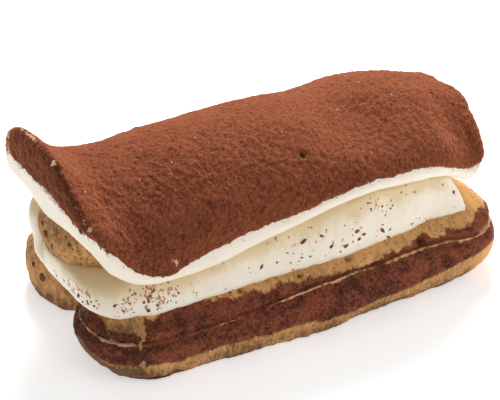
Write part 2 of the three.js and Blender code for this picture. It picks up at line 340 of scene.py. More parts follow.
class Graph:
    """The nodes of one material, added and joined by short calls. Sizes are in millimetres."""

    def __init__(self, name: str) -> None:
        """Starts a material with its shader and the object's own coordinates.

        Args:
            name: The material's name.
        """
        self.material = bpy.data.materials.new(name)
        self.material.use_nodes = True
        self.tree = self.material.node_tree
        self.shader = self.tree.nodes["Principled BSDF"]
        self.object_place = self.add("ShaderNodeTexCoord", {}).outputs["Object"]

    def add(self, kind: str, inputs: dict[str | int, Any], **settings: Any) -> bpy.types.Node:
        """Adds a node, sets its properties and fills its inputs.

        Args:
            kind: The node's type.
            inputs: A socket to join or a value, under the name or the number of each input.
            **settings: The node's properties.

        Returns:
            The new node.
        """
        node = self.tree.nodes.new(kind)
        for name, value in settings.items():
            setattr(node, name, value)
        for key, value in inputs.items():
            self.put(node.inputs[key], value)
        return node

    def put(self, socket: Socket, value: Any) -> None:
        """Joins a socket to another, or sets its own value.

        Args:
            socket: The input to fill.
            value: A socket to join it to, or a plain value.
        """
        if isinstance(value, Socket):
            self.tree.links.new(value, socket)
        else:
            socket.default_value = value

    def set(self, **values: Any) -> None:
        """Sets inputs of the shader, each named in small letters with underscores for spaces."""
        for name, value in values.items():
            self.put(self.shader.inputs[name.replace("_", " ").title().replace("Ior", "IOR")], value)

    def mark(self, name: str) -> Socket:
        """A number that the mesh holds for each point."""
        return self.add("ShaderNodeAttribute", {}, attribute_name=name).outputs["Fac"]

    def place(self, turn: float, stretch: Triple) -> Socket:
        """The object's coordinates, turned about +Z and divided by how far each axis is stretched."""
        inputs = {"Vector": self.object_place, "Rotation": (0.0, 0.0, turn), "Scale": stretch}
        return self.add("ShaderNodeMapping", inputs, vector_type="TEXTURE").outputs["Vector"]

    def noise(
        self,
        size: float,
        detail: float = 2.0,
        rough: float = 0.5,
        stretch: Triple = (1.0, 1.0, 1.0),
        turn: float = 0.0,
    ) -> Socket:
        """Smooth noise, with finer lumps on its lumps.

        Args:
            size: Width of the lumps.
            detail: How many finer layers are added.
            rough: How strong each layer is against the one before.
            stretch: How much longer the lumps are along each axis.
            turn: Their angle about +Z.

        Returns:
            A value from 0 to 1.
        """
        inputs = {"Scale": 1.0 / (size * MM), "Detail": detail, "Roughness": rough}
        inputs["Vector"] = self.place(turn, stretch)
        return self.add("ShaderNodeTexNoise", inputs).outputs["Fac"]

    def cells(self, size: float) -> Socket:
        """Distance from the nearest of points scattered about a size apart, in shares of that size."""
        inputs = {"Vector": self.object_place, "Scale": 1.0 / (size * MM)}
        return self.add("ShaderNodeTexVoronoi", inputs).outputs["Distance"]

    def math(self, operation: str, a: Any, b: Any) -> Socket:
        """One sum or product of two values."""
        return self.add("ShaderNodeMath", {0: a, 1: b}, operation=operation).outputs["Value"]

    def times(self, a: Any, b: Any) -> Socket:
        """The product of two values."""
        return self.math("MULTIPLY", a, b)

    def total(self, *terms: tuple[Any, float]) -> Socket:
        """Adds values up.

        Args:
            *terms: Each value and its weight.

        Returns:
            The sum of the values times their weights.
        """
        summed: Any = 0.0
        for value, weight in terms:
            summed = self.math("ADD", summed, self.times(value, weight))
        return summed

    def step(self, value: Any, start: float, end: float) -> Socket:
        """A smooth step from 0 at start to 1 at end, which may lie below start."""
        inputs = {"Value": value, "From Min": start, "From Max": end}
        return self.add("ShaderNodeMapRange", inputs, interpolation_type="SMOOTHSTEP").outputs["Result"]

    def blend(self, share: Any, a: Any, b: Any) -> Socket:
        """Colour a at share 0, colour b at share 1."""
        inputs = {"Factor": share, MIX_A: a, MIX_B: b}
        return self.add("ShaderNodeMix", inputs, data_type="RGBA").outputs[MIX_RESULT]

    def relief(self, height: Any, depth: float, under: Any = None) -> Socket:
        """Tilts the normals as if the surface rose.

        Args:
            height: The relief, from 0 to 1.
            depth: How far the surface rises where the height is 1.
            under: Another relief that this one lies on.

        Returns:
            The normals.
        """
        inputs = {"Height": height, "Distance": depth * MM}
        if under is not None:
            inputs["Normal"] = under
        return self.add("ShaderNodeBump", inputs).outputs["Normal"]


@dataclass(frozen=True)
class CocoaPowder:
    """A thick layer of sifted cocoa: dull, velvety, with fine grains that are longer across the portion."""

    light: Colour = rgb("995638")
    middle: Colour = rgb("82452e")
    dark: Colour = rgb("5a2d1e")
    bare: Colour = rgb("e3bfa6")
    # The colour of the painted shade in the pits.
    shaded_pit: Colour = rgb("3a2c22")
    bloom: Colour = rgb("d88963")
    grain_turn: float = -0.51
    grain_stretch: Triple = (0.9, 1.6, 0.9)
    coarse: float = 0.9
    fine: float = 0.5

    def grains(self, g: Graph, size: float, rough: float) -> Socket:
        """Noise with lumps that are longer across the portion, on a slant."""
        return g.noise(size, 2.0, rough, self.grain_stretch, self.grain_turn)

    def powder(self, g: Graph) -> Socket:
        """Mixes the powder's colour from clouds and two sizes of grain.

        Args:
            g: The material, whose mark of painted light makes the powder lighter where it is high and
                darker where it is low.

        Returns:
            The colour.
        """
        coarse, fine = self.grains(g, self.coarse, 0.6), self.grains(g, self.fine, 0.7)
        # The mark adds painted light and painted shade to the powder's colour.
        shade = g.total((g.noise(7.0, 3.0), 0.3), (coarse, 1.3), (fine, 1.1), (g.mark("painted_light"), 0.16))
        body = g.blend(g.step(shade, 1.3, 1.65), self.middle, self.light)
        return g.blend(g.step(shade, 1.35, 0.95), body, self.dark)

    def material(self) -> Material:
        """Dresses the coat.

        Returns:
            A material that bares the cream where the wear mark is high, and paints shade in the pits where
            it is low.
        """
        g = Graph("cocoa_powder")
        wear_and_pit_shade = g.mark("wear_and_pit_shade")
        streaks = g.total((g.noise(1.7, 3.0, 0.7), 1.6), (wear_and_pit_shade, 1.0))
        colour = g.blend(g.step(streaks, 1.3, 1.45), self.powder(g), self.bare)
        # Painted shade: the pits are darkened where the mark is low.
        colour = g.blend(g.step(wear_and_pit_shade, -0.5, -1.1), colour, self.shaded_pit)
        lumps = g.relief(self.grains(g, self.coarse, 0.5), 0.42)
        g.set(base_color=colour, roughness=0.95, specular_ior_level=0.06)
        g.set(normal=g.relief(self.grains(g, self.fine, 0.7), 0.4, lumps))
        g.set(sheen_weight=0.8, sheen_roughness=0.5, sheen_tint=self.bloom)
        return g.material


@dataclass(frozen=True)
class Cream:
    """Mascarpone cream: ivory, soft and faintly smeared, with cocoa where the mark dust rises past 0."""

    light: Colour = rgb("fbf0e0")
    # Beige for random smears and for painted shade under the blanket; the next colour is the deepest
    # painted shade.
    beige_and_shade: Colour = rgb("e1cba1")
    shadow: Colour = rgb("cdaf7b")
    stain: Colour = rgb("b8703e")
    spread: Triple = (1.0, 0.8, 0.55)

    def material(self, cocoa: CocoaPowder) -> Material:
        """Dresses the cream.

        Args:
            cocoa: The powder that has fallen on it.

        Returns:
            A material that reads the marks dust, in millimetres inside the cocoa's edge, near, where the
            edge is dusty, the mark of painted shade, and stains.
        """
        g = Graph("mascarpone_cream")
        smear = g.noise(5.0, 3.0, 0.55, (2.4, 1.0, 0.8))
        streaks = g.noise(1.3, 2.0, 0.6, (0.7, 0.7, 3.0))
        # The mark of painted shade adds beige under the blanket to the random smears.
        smears_and_shade = g.total((smear, 0.3), (streaks, 0.4), (g.mark("painted_shade"), 0.7))
        cream = g.blend(g.step(smears_and_shade, 0.3, 1.0), self.light, self.beige_and_shade)
        # The deepest painted shade, where the mark is strongest.
        cream = g.blend(g.step(smears_and_shade, 1.05, 1.6), cream, self.shadow)
        round_spots = g.noise(1.0, 1.0, 0.6, (0.8, 0.8, 1.3))
        spots = g.step(g.total((round_spots, 1.0), (g.mark("stains"), 0.3)), 0.81, 0.88)
        cream = g.blend(g.times(spots, 0.85), cream, self.stain)
        near = g.mark("near")
        torn, grains = g.noise(1.3, 2.0), g.noise(0.4, 2.0, 0.7)
        ragged = g.total((torn, 2.2), (grains, 3.2), (g.mark("dust"), 1.0), (near, 0.25))
        film = g.times(g.step(ragged, 2.5, 3.3), g.total((near, 0.15), (1.0, 0.3)))
        cream = g.blend(film, cream, self.stain)
        colour = g.blend(g.step(ragged, 2.9, 3.3), cream, cocoa.powder(g))
        g.set(base_color=colour, roughness=0.5, specular_ior_level=0.3)
        g.set(normal=g.relief(g.noise(0.6, 2.0, 0.5), 0.05, g.relief(smear, 0.25)))
        g.set(subsurface_weight=0.3, subsurface_radius=self.spread, subsurface_scale=1.2 * MM)
        return g.material


@dataclass(frozen=True)
class Sponge:
    """Ladyfinger biscuit soaked in coffee: a matt tan crust with small pores and patches of wet cocoa."""

    light: Colour = rgb("dda76b")
    tan: Colour = rgb("ba8a57")
    dark: Colour = rgb("785434")
    cocoa_light: Colour = rgb("904c33")
    cocoa_dark: Colour = rgb("482419")
    pale: Colour = rgb("e6b78e")

    def material(self) -> Material:
        """Dresses the crust.

        Returns:
            A material that reads the marks cocoa, in millimetres inside its edge, crease, crumb, and tone,
            which also holds painted light and shade.
        """
        g = Graph("ladyfinger_sponge")
        tone_and_shading = g.mark("tone_and_shading")
        pores = g.noise(0.75, 2.0, 0.6)
        wrinkles = g.noise(1.0, 3.0, 0.6, (0.8, 2.5, 3.0))
        shade = g.total((g.noise(3.2, 4.0, 0.6), 0.6), (pores, 0.3), (wrinkles, 0.7), (tone_and_shading, 0.5))
        tan = g.blend(g.step(shade, 0.75, 1.05), self.tan, self.light)
        tan = g.blend(g.step(shade, 0.8, 0.5), tan, self.dark)
        clumps = g.noise(3.2, 1.0)
        holes = g.total((g.cells(0.95), -1.0), (g.mark("crumb"), 0.3), (clumps, 0.9), (pores, 0.5))
        # Painted shade: the pores are darkened towards the dark cocoa colour.
        tan = g.blend(g.times(g.step(holes, 0.55, 0.8), 0.6), tan, self.cocoa_dark)
        line = g.total((g.mark("crease"), 1.0), (g.noise(1.6, 2.0), 1.0))
        tan = g.blend(g.times(g.step(line, 1.2, 1.6), 0.6), tan, self.pale)
        torn, frayed = g.noise(1.2, 3.0, 0.6), g.noise(0.5, 2.0, 0.7)
        ragged = g.total((g.mark("cocoa"), 1.0), (torn, 1.8), (frayed, 1.4))
        share = g.times(g.step(ragged, 1.2, 1.9), g.step(line, 1.45, 1.1))
        grains = g.total((g.noise(0.7, 3.0, 0.8), 1.0), (g.noise(3.0, 2.0), 0.5), (tone_and_shading, 0.2))
        cocoa = g.blend(g.step(grains, 0.58, 0.9), self.cocoa_dark, self.cocoa_light)
        skin = g.relief(g.total((pores, 1.0), (g.step(holes, 0.4, 0.7), -1.6)), 0.22)
        g.set(base_color=g.blend(share, tan, cocoa), roughness=0.85, specular_ior_level=0.2)
        g.set(normal=g.relief(g.times(g.noise(0.45, 2.0, 0.7), share), 0.3, skin))
        return g.material


@dataclass(frozen=True)
class Speck:
    """A small dull crumb or fleck that stands on a surface."""

    name: str
    light: Colour
    dark: Colour

    def material(self) -> Material:
        """Dresses the flecks.

        Returns:
            A material whose colour wanders between light and dark from fleck to fleck.
        """
        g = Graph(self.name)
        colour = g.blend(g.step(g.noise(1.2, 1.0), 0.35, 0.65), self.light, self.dark)
        g.set(base_color=colour, roughness=0.9, normal=g.relief(g.noise(0.2), 0.05))
        return g.material


@dataclass(frozen=True)
class Table:
    """The plain pale floor: a flat square of white paint with the faintest mottle, under the portion."""

    white: Colour = rgb("f4f4f4")
    shade: Colour = rgb("f0f0f0")
    side: float = 2400.0
    level: float = -0.05
    lines: int = 9
    glow: float = 0.5

    def build(self) -> None:
        """Makes the floor, which isn't part of the object."""
        steps = np.linspace(-self.side / 2, self.side / 2, self.lines)
        x, y = np.meshgrid(steps, steps)
        index = np.arange(self.lines**2).reshape(self.lines, self.lines)
        corners = [index[:-1, :-1], index[:-1, 1:], index[1:, 1:], index[1:, :-1]]
        faces = np.stack(corners, axis=-1).reshape(-1, 4)
        floor = new_mesh("floor", np.stack([x, y, np.full_like(x, self.level)], axis=-1), faces, {})
        g = Graph("pale_floor")
        colour = g.blend(g.noise(40.0), self.white, self.shade)
        g.set(base_color=colour, roughness=0.9)
        g.set(emission_color=(1.0, 1.0, 1.0, 1.0), emission_strength=self.glow)
        floor.data.materials.append(g.material)


# ---------------------------------------------------------------- ladyfingers


@dataclass(frozen=True)
class Patch:
    """A round patch of a surface that holds more or less of something than its surroundings."""

    place: Triple
    reach: float
    amount: float

    def at(self, place: Points) -> Field:
        """Its amount times a bell of the distance from its middle."""
        return self.amount * bump(np.linalg.norm(place - np.array(self.place), axis=-1), 0.0, self.reach)


def patches(*rows: tuple[float, float, float, float, float]) -> tuple[Patch, ...]:
    """Makes patches from rows of x, y, z, reach and amount."""
    return tuple(Patch((x, y, z), reach, amount) for x, y, z, reach, amount in rows)


@dataclass
class Ladyfinger(Seeded):
    """One ladyfinger: a flat base, a full belly, a burst crease round the side and a low dome."""

    name: str
    node: str
    length: float
    middle: tuple[float, float]
    ground: float
    tuck: float
    seed: int
    cocoa_low: Line = Line(4.8, steps=((1.2, 5, 20), (2.2, 18, 52)))
    cocoa_high: Line = Line(
        14.7, bells=((1.6, -33, 8),), steps=((-1.4, -14, 22), (1.4, 10, 26), (-2.4, -43.5, -46.5))
    )
    patches: tuple[Patch, ...] = ()
    pits: tuple[Patch, ...] = ()
    undercut: float = 0.0
    end_rise: float = 0.0
    crack: float | None = None
    crack_shown: Line = Line(0.15, bells=((0.6, 13.4, 0.8), (0.9, 10.2, 1.2), (0.8, 5.8, 0.8)))
    crumb: float = 0.0
    tone_and_shading: float = 0.0
    # Painted light at the right end and painted shade at the left end.
    glow: float = 0.0
    width: float = 30.6
    height: float = 17.4
    base_share: float = 0.86
    widest_share: float = 0.36
    crease_share: float = 0.75
    crease_depth: float = 0.9
    crease_reach: float = 0.06
    crease_out: float = 15.0
    crease_fall: float = 0.0
    crease_faded: Line = Line(0.0, bells=((1.1, -40, 6), (0.25, -20, 14)))
    crease_width: Line = Line(0.32, steps=((0.2, 0, 30), (0.3, 40, 50), (0.3, -40, -50)))
    end_fullness: float = 0.025
    sway: float = 2.6
    side_steps: int = 230
    end_steps: int = 80
    rows: tuple[int, int, int] = (5, 26, 62)
    outside: float = -3.0

    def rays(self) -> tuple[Field, Field]:
        """The rays of a stadium's outline: two straight sides, each followed by half a turn round its end.

        Returns:
            Where each ray starts on the middle line, and its direction as an angle.
        """
        half_line = self.length / 2 - self.width / 2
        starts, turns = [], []
        for side in (1.0, -1.0):
            along = np.arange(self.side_steps) / self.side_steps
            round_end = np.arange(self.end_steps) / self.end_steps
            starts += [side * mix(half_line, -half_line, along), np.full(self.end_steps, -side * half_line)]
            turns += [np.full(self.side_steps, side * np.pi / 2), side * np.pi / 2 + np.pi * round_end]
        return np.concatenate(starts), np.concatenate(turns)

    def profile(self) -> tuple[Field, Field]:
        """The side profile, as shares of the half-width and of the height.

        The base runs out to its share, the belly is a quarter of an ellipse up to the widest place, and the
        dome is a quarter of an ellipse whose width follows the cosine to the power 0.7.

        Returns:
            The width shares and the height shares, from the middle of the base to the top.
        """
        base, belly, dome = self.rows
        flat = np.arange(base) / base * self.base_share
        low = np.linspace(0, np.pi / 2, belly, endpoint=False)
        high = np.linspace(0, np.pi / 2, dome)
        wide = [flat, self.base_share + (1 - self.base_share) * np.sin(low), np.cos(high) ** 0.7]
        tall = [flat * 0, self.widest_share * (1 - np.cos(low)), mix(self.widest_share, 1, np.sin(high))]
        wide[-1][-1] = 0.0
        return np.concatenate(wide), np.concatenate(tall)

    def surface(self) -> tuple[Surface, Field]:
        """The smooth ladyfinger: each ray leaves the middle line for the half-width times its share.

        The crease takes its depth off the reach near its own height, the ends are a little squarer than
        half circles, the base is drawn in at the ends and along the right half of the front, the middle
        line sways to the side and the dome may rise at the right end.

        Returns:
            The surface, and the height share of each of its points.
        """
        start, turn = (a[None, :] for a in self.rays())
        wide, high = (a[:, None] for a in self.profile())
        near_x = start + self.middle[0] + self.crease_out * np.cos(turn)
        crease = self.crease_depth * bump(high, self.crease_line(near_x), self.crease_reach)
        low = np.maximum(0.0, 1 - high / self.widest_share)
        eaten = self.undercut * ramp(start, 0, 12) * (1 - ramp(np.sin(turn), 0, 1))
        drawn = 1 - (self.tuck * np.cos(turn) ** 2 + eaten) * low**2
        full = self.width / 2 * (1 + self.end_fullness * np.sin(2 * turn) ** 2) * drawn
        reach = np.where(wide > 0, np.maximum(full * wide - crease, 0.0), 0.0)
        x = self.middle[0] + start + reach * np.cos(turn)
        y = self.middle[1] + reach * np.sin(turn) - self.sway * bump(x, 12, 28)
        crown = self.height * (1 + 0.02 * np.sin(0.09 * x - 1) + self.end_rise * ramp(x, 34, 50))
        place = np.stack([x, y, self.ground + high * crown], axis=-1)
        return Surface(place, UPWARDS), np.broadcast_to(high, x.shape)

    def crease_line(self, x: Field) -> Field:
        """The height share that the crease runs at, lower where the dome rises or the crease falls."""
        line = self.crease_share - self.crease_fall * ramp(-x, -8, 32)
        return line - 1.2 * self.end_rise * ramp(x, 30, 50)

    def bared(self, place: Points) -> Field:
        """The thin pale crack down the front of the belly: a bell of the way to a wavy upright line.

        Args:
            place: Points of the skin.

        Returns:
            How strongly the crack shows, which it does in three places.
        """
        if self.crack is None:
            return np.zeros(place.shape[:-1])
        x, y, z = np.moveaxis(place, -1, 0)
        line = bump(x, self.crack - 0.9 * ramp(z, 13, 7) + 0.3 * np.sin(1.1 * z), 0.34)
        line = line * (y < self.middle[1]) * ramp(z, 3, 5) * ramp(z, 14.5, 13)
        return line * np.clip(self.crack_shown.at(z), 0, 1)

    def cocoa(self, place: Points) -> Field:
        """How far inside the cocoa a point is: from the band's wandering edges, and from patches.

        Args:
            place: Points of the skin.

        Returns:
            The way to the edge in millimetres, less than 0 outside the cocoa.
        """
        x = place[..., 0]
        height = place[..., 2] - self.ground
        wander = self.noise(40, place, (9.0, 9.0, 5.0), 3)
        flecks = self.noise(44, place, (1.7, 2.6, 3.2))
        over = height - self.cocoa_low.at(x) + 0.6 * wander
        under = self.cocoa_high.at(x) - height + 0.75 * flecks - 0.5 * wander
        inside = np.minimum(over, under)
        inside = np.maximum(np.maximum(inside, 1.6 - 3 * height + 0.8 * flecks), self.outside)
        inside = inside + sum(patch.at(place) for patch in self.patches)
        return np.maximum(inside - 9 * self.bared(place), self.outside)

    def crease(self, place: Points, share: Field) -> Field:
        """How much of the bare crease line shows: a thin bell round the crease, broken in places.

        Args:
            place: Points of the skin.
            share: Their height shares.

        Returns:
            The strength of the line at each point.
        """
        x = place[..., 0]
        away = self.height * (share - self.crease_line(x) + 0.01) + 0.22 * self.noise(47, place, 4.0)
        faded = self.crease_faded.at(x) + 0.45 * self.noise(48, place, 8.0, 1)
        shown = bump(away, 0.0, self.crease_width.at(x)) * (1 - faded)
        return np.maximum(shown, 1.3 * self.bared(place))

    def relief(self, place: Points, share: Field, cocoa: Field) -> Field:
        """Height of the crust's relief: lumps, folds above the crease, the crease's lip, grain and pores.

        Args:
            place: Points of the smooth surface.
            share: Their height shares.
            cocoa: How far inside the cocoa they are.

        Returns:
            How far each point is moved outwards, in millimetres.
        """
        lumps = 0.3 * self.noise(0, place, 7.0, 3)
        above = share - self.crease_line(place[..., 0])
        folded = ramp(above, 0.03, 0.11) * (1 - 0.6 * ramp(share, 0.9, 0.96))
        folds = 0.5 * self.noise(9, place, (1.9, 6.0, 9.0)) * folded
        lip = 0.3 * bump(above, -0.005, 0.016) - 0.55 * bump(above, 0.035, 0.018)
        grain = 0.2 * self.noise(17, place, 1.1) * ramp(cocoa, -0.5, 1.0)
        skin = 0.1 * self.noise(23, place, 1.6)
        foot = 0.3 * self.noise(31, place, 2.4) * bump(share, 0.04, 0.08)
        pores = self.crumb * np.minimum(0, self.noise(5, place, 1.7) + 0.1)
        crust = 0.12 * ramp(cocoa, -0.2, 0.5) - sum(shaded_pit.at(place) for shaded_pit in self.pits)
        return (lumps + folds + lip + grain + skin + foot + pores + crust) * ramp(share, 0.0, 0.03)

    def build(self, material: Material) -> None:
        """Makes the piece and puts it in its node's place.

        Args:
            material: The sponge.
        """
        smooth, share = self.surface()
        place = smooth.place
        cocoa = self.cocoa(place)
        rough = smooth.raised(self.relief(place, share, cocoa))
        rough.place[..., 2] = np.maximum(rough.place[..., 2], self.ground)
        low = 1 - ramp(share, 0.1, 0.32)
        # Painted light at the right end and painted shade at the left end.
        ends = self.glow * (ramp(place[..., 0], 38, 50) - ramp(-place[..., 0], 40, 48))
        # The tone differs at random, lighter towards the top and darker towards the bottom.
        tone_and_shading = self.tone_and_shading + 0.35 * self.noise(60, place, 12.0) + 0.35 * ramp(share, 0.75, 0.9) - 0.4 * low
        # Painted shade: the pits darken the tone.
        tone_and_shading = tone_and_shading + ends - sum(shaded_pit.at(place) for shaded_pit in self.pits)
        # Fewer dark pores where the right end has painted light.
        crumb = np.maximum(self.crumb, 0.4 * low) - self.glow * ramp(place[..., 0], 36, 46)
        marks = {"cocoa": cocoa, "crease": self.crease(place, share), "tone_and_shading": tone_and_shading, "crumb": crumb}
        new_piece(self.name, rough, marks, material, Slot.SPONGE, self.node)


# ---------------------------------------------------------------- cream


def cream_marks(painted_shade: Field, **others: Field) -> Marks:
    """The cream's marks: the painted shade given, and bare of cocoa, stains and film unless others say so.
    """
    return {"dust": 0 * painted_shade - 6.0, "painted_shade": painted_shade, "stains": 0 * painted_shade, "near": 0 * painted_shade} | others


@dataclass(frozen=True)
class Drape:
    """The heights that the blanket of cream follows along the portion, which its neighbours share.

    The crest is its ridge, the hem and the lip are its lower and upper front edge, and a drop is how far
    below the upper edge the cocoa ends.
    """

    crest: Line = Line(43.2, bells=((7.3, -58.5, 7), (-1.3, -36, 9), (-3.5, 21.5, 13)))
    sink: float = 5.0
    sink_start: float = 30.0
    sink_reach: float = 22.0
    hem: Line = Line(21.9, bells=((12, -60, 10), (-3.6, 46, 5.2)), steps=((7, -32, 22), (-2, 26, 42)))
    hem_lift: Line = Line(0.0, steps=((1.3, -26, -12), (-1.3, 14, 30)))
    lip: Line = Line(6.4, bells=((1.5, -17, 11), (2, -51, 5), (-2.2, -58, 4)), steps=((-0.8, 10, 30),))
    back: Line = Line(28.5, bells=((14.5, -60, 10),))
    back_hem: Line = Line(24.0, bells=((11.4, -60, 9),))
    end_wave: Line = Line(1.0, bells=((1.8, -0.7, 0.35), (-2.8, 0.15, 0.3)))
    drop: Line = Line(0.9, bells=((2.0, -38, 5), (0.8, -46, 5)))
    back_drop: float = 1.8
    cocoa_rise: Line = Line(0.0, bells=((-0.6, 39, 5),), steps=((-2.0, 48, 50.5),))
    cocoa_arch: float = 6.0
    cocoa_end: Line = Line(38.9, steps=((-2.6, -9, -16),))

    def crest_height(self, x: Field) -> Field:
        """The ridge line: a curl at the left end, a dip past the middle and a right end that sinks away."""
        return self.crest.at(x) - self.sink * np.maximum(0, (x - self.sink_start) / self.sink_reach) ** 1.35

    def hem_height(self, x: Field) -> Field:
        """The lower front edge: high at the left corner, low beside it, and rising to the right."""
        return self.hem.at(x) + self.hem_lift.at(x)

    def lip_height(self, x: Field) -> Field:
        """The upper front edge, which is above the hem by the blanket's thickness there."""
        return self.hem.at(x) + self.lip.at(x)

    def back_height(self, x: Field) -> Field:
        """The upper back edge, in slow waves."""
        return self.back.at(x) + 1.2 * np.sin(0.07 * x)

    def under_height(self, x: Field, v: Field) -> Field:
        """The underside: from the front hem to the back one as v goes from -1 to 1, wavy at the left."""
        wave = self.end_wave.at(v) - 1.5 * (1 - v * v)
        return mix(self.hem_height(x), self.back_hem.at(x), (v + 1) / 2) + wave * bump(x, -58, 5)

    def cocoa_line(self, x: Field, y: Field) -> Field:
        """The level that the cocoa starts at: near the edges' heights, and high on the left end.

        Args:
            x: Places along the portion.
            y: Places across it.

        Returns:
            The height of the cocoa's lower line at each place.
        """
        front, back = self.lip_height(x) - self.drop.at(x), self.back_height(x) - self.back_drop
        level = mix(front, back, ramp(y, -12, 12))
        level = level + self.cocoa_arch * np.maximum(0, 1 - (y / 20) ** 2) + self.cocoa_rise.at(x)
        return mix(level, self.cocoa_end.at(y), ramp(x, -51, -54.5))


@dataclass
class Blanket(Seeded):
    """The blanket of cream over the upper ladyfinger, and the same shape grown for the cocoa on it.

    A point of it has a share s along the portion, v across it from -1 at the front to 1 at the back, and w
    through it from -1 underneath to 1 on top. Its long edges follow |v|^power + w² = 1.
    """

    drape: Drape
    left: float = -55.6
    right: float = 51.4
    front: Line = Line(-26.4, steps=((2.6, 20, 54), (1.6, -40, -56)))
    back: Line = Line(26.0, steps=((-2.8, -44, -56),))
    ridge: Line = Line(-1.0, steps=((-1.5, 20, 52),))
    edge_power: float = 14.0
    end_inset: float = 0.02
    stations: int = 200
    end_rows: int = 26
    top_columns: int = 150
    under_columns: int = 60
    outline_steps: tuple[int, int] = (600, 400)
    half_section: tuple[float, float] = (30.0, 4.0)
    seed: int = 300

    def top_height(self, x: Field, y: Field, front: Field, back: Field) -> Field:
        """The top: it falls from the ridge line to each long edge by a power of the share of the way.

        Args:
            x: Places along the portion.
            y: Places across it.
            front: Where the front edge is.
            back: Where the back edge is.

        Returns:
            The height of the top at each place.
        """
        ridge = self.ridge.at(x)
        ahead = y < ridge
        t = np.minimum(1, np.abs(y - ridge) / np.abs(np.where(ahead, front, back) - ridge))
        edge = np.where(ahead, self.drape.lip_height(x), self.drape.back_height(x))
        round_over = t ** np.where(ahead, 2.0, 2.3)
        left = mix(round_over, np.where(ahead, ramp(t, 0, 0.95), t**5), bump(x, -59, 8))
        return mix(self.drape.crest_height(x), edge, mix(left, ramp(t, 0.1, 0.98), ramp(x, 32, 56)))

    def point(self, s: Field, v: Field, w: Field) -> Points:
        """The blanket's points: straight mixes of its ends, edges and faces by s, v and w.

        Args:
            s: Shares along the portion.
            v: Places across it.
            w: Places through it.

        Returns:
            The points in millimetres.
        """
        high = (w + 1) / 2
        corner = mix(3.8, 1.5, high) * ramp(-v, 0.3, 1) - mix(0.9, 0.3, high) * ramp(v, 0.4, 1)
        nose = 5 * (v + 0.8) * ramp(-v, 0, 0.4) - 2.3 * np.maximum(v, 0) ** 3
        slant = 5.6 * ramp(-v, 0.2, 1) * ((1 - w) / 2) ** 1.3
        x = mix(self.left + corner, self.right + nose - slant, s)
        front, back = self.front.at(x), self.back.at(x)
        y = mix(front, back, (v + 1) / 2)
        top = self.top_height(x, y, front, back)
        under = self.drape.under_height(x, v) + 1.5 * (1 - v * v)
        return np.stack([x, y, mix(under, top, high)], axis=-1)

    def over_line(self, place: Points) -> Field:
        """How far a point is above the level that the cocoa starts at, which wavers a little."""
        above = place[..., 2] - self.drape.cocoa_line(place[..., 0], place[..., 1])
        return above + 0.2 * self.noise(3, place, 2.2)

    def levels(self, stations: int, ends: tuple[int, int]) -> tuple[Field, Field]:
        """The rows along the blanket: each end is a shallow bowl of growing rows, closed at its middle.

        Args:
            stations: How many rows run between the ends.
            ends: How many rows the left and the right end have.

        Returns:
            The share s along the portion and the size of each row, as a share of the full section.
        """
        left, right = (np.linspace(0, np.pi / 2, count, endpoint=False) for count in ends)
        depth = self.end_inset / 2
        middle = np.linspace(depth, 1 - depth, stations)
        s = [depth * (1 - np.cos(left)), middle, 1 - depth * (1 - np.cos(right[::-1]))]
        return np.concatenate(s), np.concatenate([np.sin(left), np.ones(stations), np.sin(right[::-1])])

    def section(self, count: int, low: float) -> tuple[Field, Field]:
        """Points spread evenly over the upper outline of the section, from the back edge to the front edge.

        Args:
            count: How many points.
            low: The w that both ends of the outline reach down to.

        Returns:
            The v and w of each point.
        """
        side_steps, flat_steps = self.outline_steps
        side_w = np.cos(np.linspace(0, np.arccos(low), side_steps))[:0:-1]
        side_v = (1 - side_w**2) ** (1 / self.edge_power)
        flat_v = side_v[-1] * (1 - np.linspace(0, 1, flat_steps))
        half_v = np.append(side_v[:-1], flat_v)
        half_w = np.append(side_w[:-1], (1 - flat_v**self.edge_power) ** 0.5)
        v, w = np.append(half_v, -half_v[-2::-1]), np.append(half_w, half_w[-2::-1])
        wide, tall = self.half_section
        gone = np.append(0.0, np.cumsum(np.hypot(np.diff(v) * wide, np.diff(w) * tall)))
        even = np.linspace(0, gone[-1], count)
        return np.interp(even, gone, v), np.interp(even, gone, w)

    def net(self, stations: int, ends: tuple[int, int], v: Field, w: Field) -> Points:
        """Carries an outline of the section along the blanket, shrinking it into both ends.

        Args:
            stations: How many rows run between the ends.
            ends: How many rows the left and the right end have.
            v: The outline's places across the portion.
            w: The outline's places through the blanket.

        Returns:
            The points, a row for each place along the portion.
        """
        s, size = (a[:, None] for a in self.levels(stations, ends))
        return self.point(s, v * size, w * size)

    def surface(self) -> Surface:
        """Goes round the section: its upper outline, then its underside from the front to the back.

        Returns:
            The whole blanket.
        """
        over_v, over_w = self.section(self.top_columns, 0.0)
        under_v, under_w = (a[-2:0:-1] for a in self.section(self.under_columns, 0.0))
        v, w = np.append(over_v, under_v), np.append(over_w, -under_w)
        return Surface(self.net(self.stations, (self.end_rows, self.end_rows), v, w), RIGHTWARDS)

    def build(self, material: Material) -> None:
        """Makes the cream: smooth, with low smears along its edges.

        Args:
            material: The cream.
        """
        smooth = self.surface()
        left = ramp(-smooth.place[..., 0], 51, 54)
        dust = self.over_line(smooth.place) * mix(1.0, 0.55, left)
        marks = cream_marks(0 * dust, dust=np.clip(dust, -6, 6), near=left * ramp(dust, -1.6, -0.2))
        rough = smooth.raised(0.16 * self.noise(0, smooth.place, (7.0, 3.0, 2.2)))
        new_piece("cream_blanket", rough, marks, material, Slot.CREAM, "cream_top")


